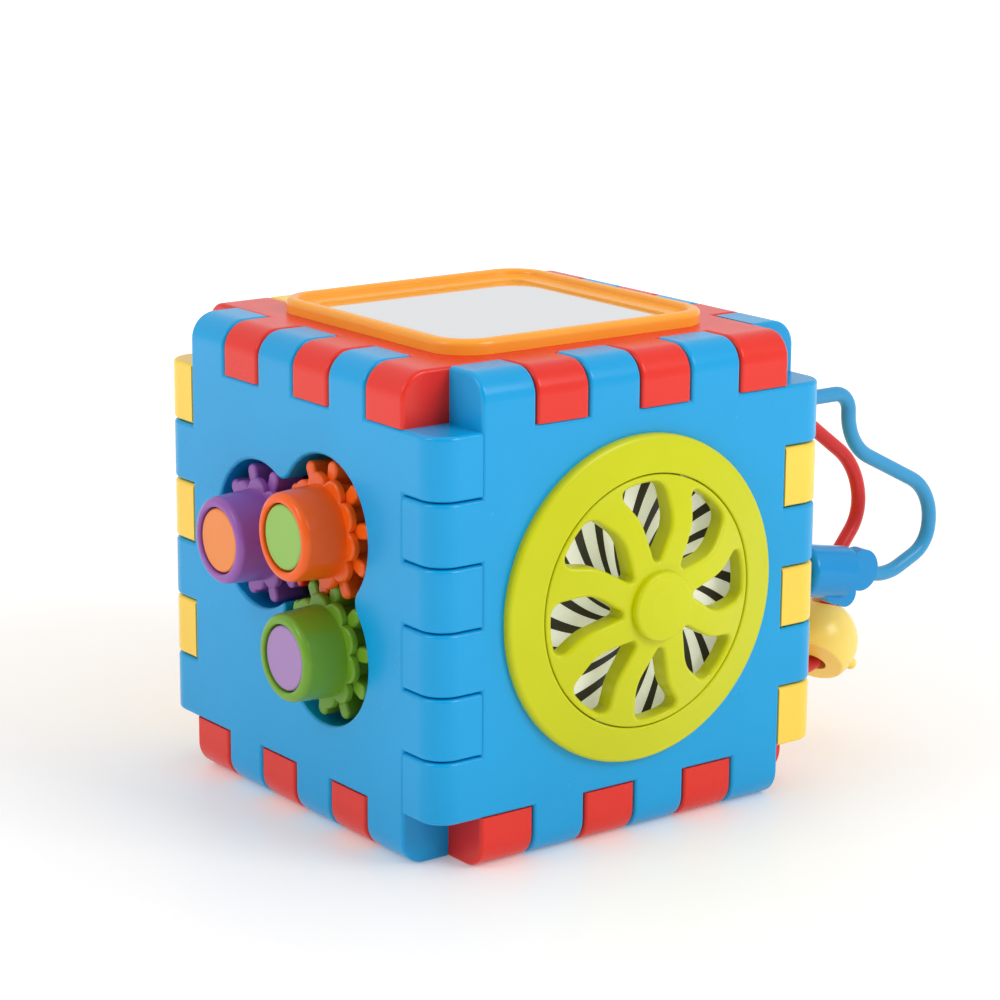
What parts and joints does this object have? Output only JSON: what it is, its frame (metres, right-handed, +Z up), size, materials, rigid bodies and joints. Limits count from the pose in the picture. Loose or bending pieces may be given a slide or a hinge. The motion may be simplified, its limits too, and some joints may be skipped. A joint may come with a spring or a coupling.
{
  "type": "baby activity cube",
  "caption": "Cube of interlocking toothed panels with meshing gears, a spinning spoked wheel, a mirror and bead wires.",
  "frame": {"origin": "middle of the underside, on the surface the cube stands on", "axes": "+Z up, -Y towards the spinning wheel, -X towards the gears, +X towards the bead wires"},
  "size_m": [0.3413, 0.2348, 0.2225],
  "materials": {
    "blue_plastic": "glossy moulded",
    "red_plastic": "glossy moulded",
    "yellow_plastic": "glossy moulded",
    "orange_plastic": "glossy moulded",
    "green_plastic": "glossy moulded",
    "purple_plastic": "glossy moulded",
    "pale_green_plastic": "satin moulded",
    "pale_purple_plastic": "satin moulded",
    "pale_orange_plastic": "satin moulded",
    "lime_plastic": "glossy moulded",
    "mirror_orange_plastic": "glossy moulded",
    "mirror_sheet": "mirror film on a plastic sheet",
    "disc_plastic": "printed",
    "black_plastic": "matte",
    "steel": "zinc plated",
    "wire_blue_plastic": "coated wire",
    "wire_red_plastic": "coated wire",
    "bead_blue_plastic": "glossy moulded",
    "bead_yellow_plastic": "glossy moulded"
  },
  "bodies": {
    "cube": {"gear_panel": "blue_plastic", "wheel_panel": "blue_plastic", "mirror_panel": "red_plastic", "base_panel": "red_plastic", "back_panel": "yellow_plastic", "maze_panel": "yellow_plastic", "maze_header": "blue_plastic", "gear_carrier": "black_plastic", "clicker_post": "red_plastic", "gear_posts": "steel", "gear_washers": "steel", "gear_post_screws": "steel", "gear_carrier_screws": "steel", "wheel_housing": "black_plastic", "spiral_disc": "disc_plastic", "wheel_bezel": "lime_plastic", "wheel_axle": "steel", "wheel_washer": "steel", "wheel_axle_screw": "steel", "wheel_housing_screws": "steel", "mirror_frame": "mirror_orange_plastic", "mirror_glass": "mirror_sheet", "mirror_backer": "black_plastic", "mirror_screws": "steel", "header_screws": "steel", "blue_wire": "wire_blue_plastic", "red_wire": "wire_red_plastic", "wire_collars": "blue_plastic", "wire_end_nuts": "steel"},
    "orange_gear": {"gear_orange": "orange_plastic", "cap_green": "pale_green_plastic"},
    "green_gear": {"gear_green": "green_plastic", "cap_purple": "pale_purple_plastic"},
    "purple_gear": {"gear_purple": "purple_plastic", "cap_orange": "pale_orange_plastic"},
    "wheel": {"spoked_wheel": "lime_plastic", "wheel_cap": "lime_plastic"},
    "sliding_bead": {"blue_bead": "bead_blue_plastic"},
    "swinging_bead": {"yellow_bead": "bead_yellow_plastic"}
  },
  "joints": [
    {"name": "orange_gear_spin", "type": "hinge", "parent": "cube", "child": "orange_gear", "pos_m": [-0.108, -0.024, 0.1365], "axis": [-1, 0, 0], "continuous": true},
    {"name": "green_gear_spin", "type": "hinge", "parent": "cube", "child": "green_gear", "pos_m": [-0.108, -0.024, 0.0825], "axis": [-1, 0, 0], "continuous": true},
    {"name": "purple_gear_spin", "type": "hinge", "parent": "cube", "child": "purple_gear", "pos_m": [-0.108, 0.02853, 0.124], "axis": [-1, 0, 0], "continuous": true},
    {"name": "wheel_spin", "type": "hinge", "parent": "cube", "child": "wheel", "pos_m": [0, -0.108, 0.108], "axis": [0, -1, 0], "continuous": true},
    {"name": "blue_bead_slide", "type": "slide", "parent": "cube", "child": "sliding_bead", "axis": [0.9826, 0, -0.1858], "range_m": [-0.004, 0.01]},
    {"name": "yellow_bead_swing", "type": "hinge", "parent": "cube", "child": "swinging_bead", "pos_m": [0.14874, -0.04939, 0.05622], "axis": [0, -0.9951, 0.0993], "range_deg": [-16, 9]}
  ],
  "couplings": [
    {"joint": "green_gear_spin", "follows": "orange_gear_spin", "ratio": -1},
    {"joint": "purple_gear_spin", "follows": "orange_gear_spin", "ratio": -1}
  ]
}
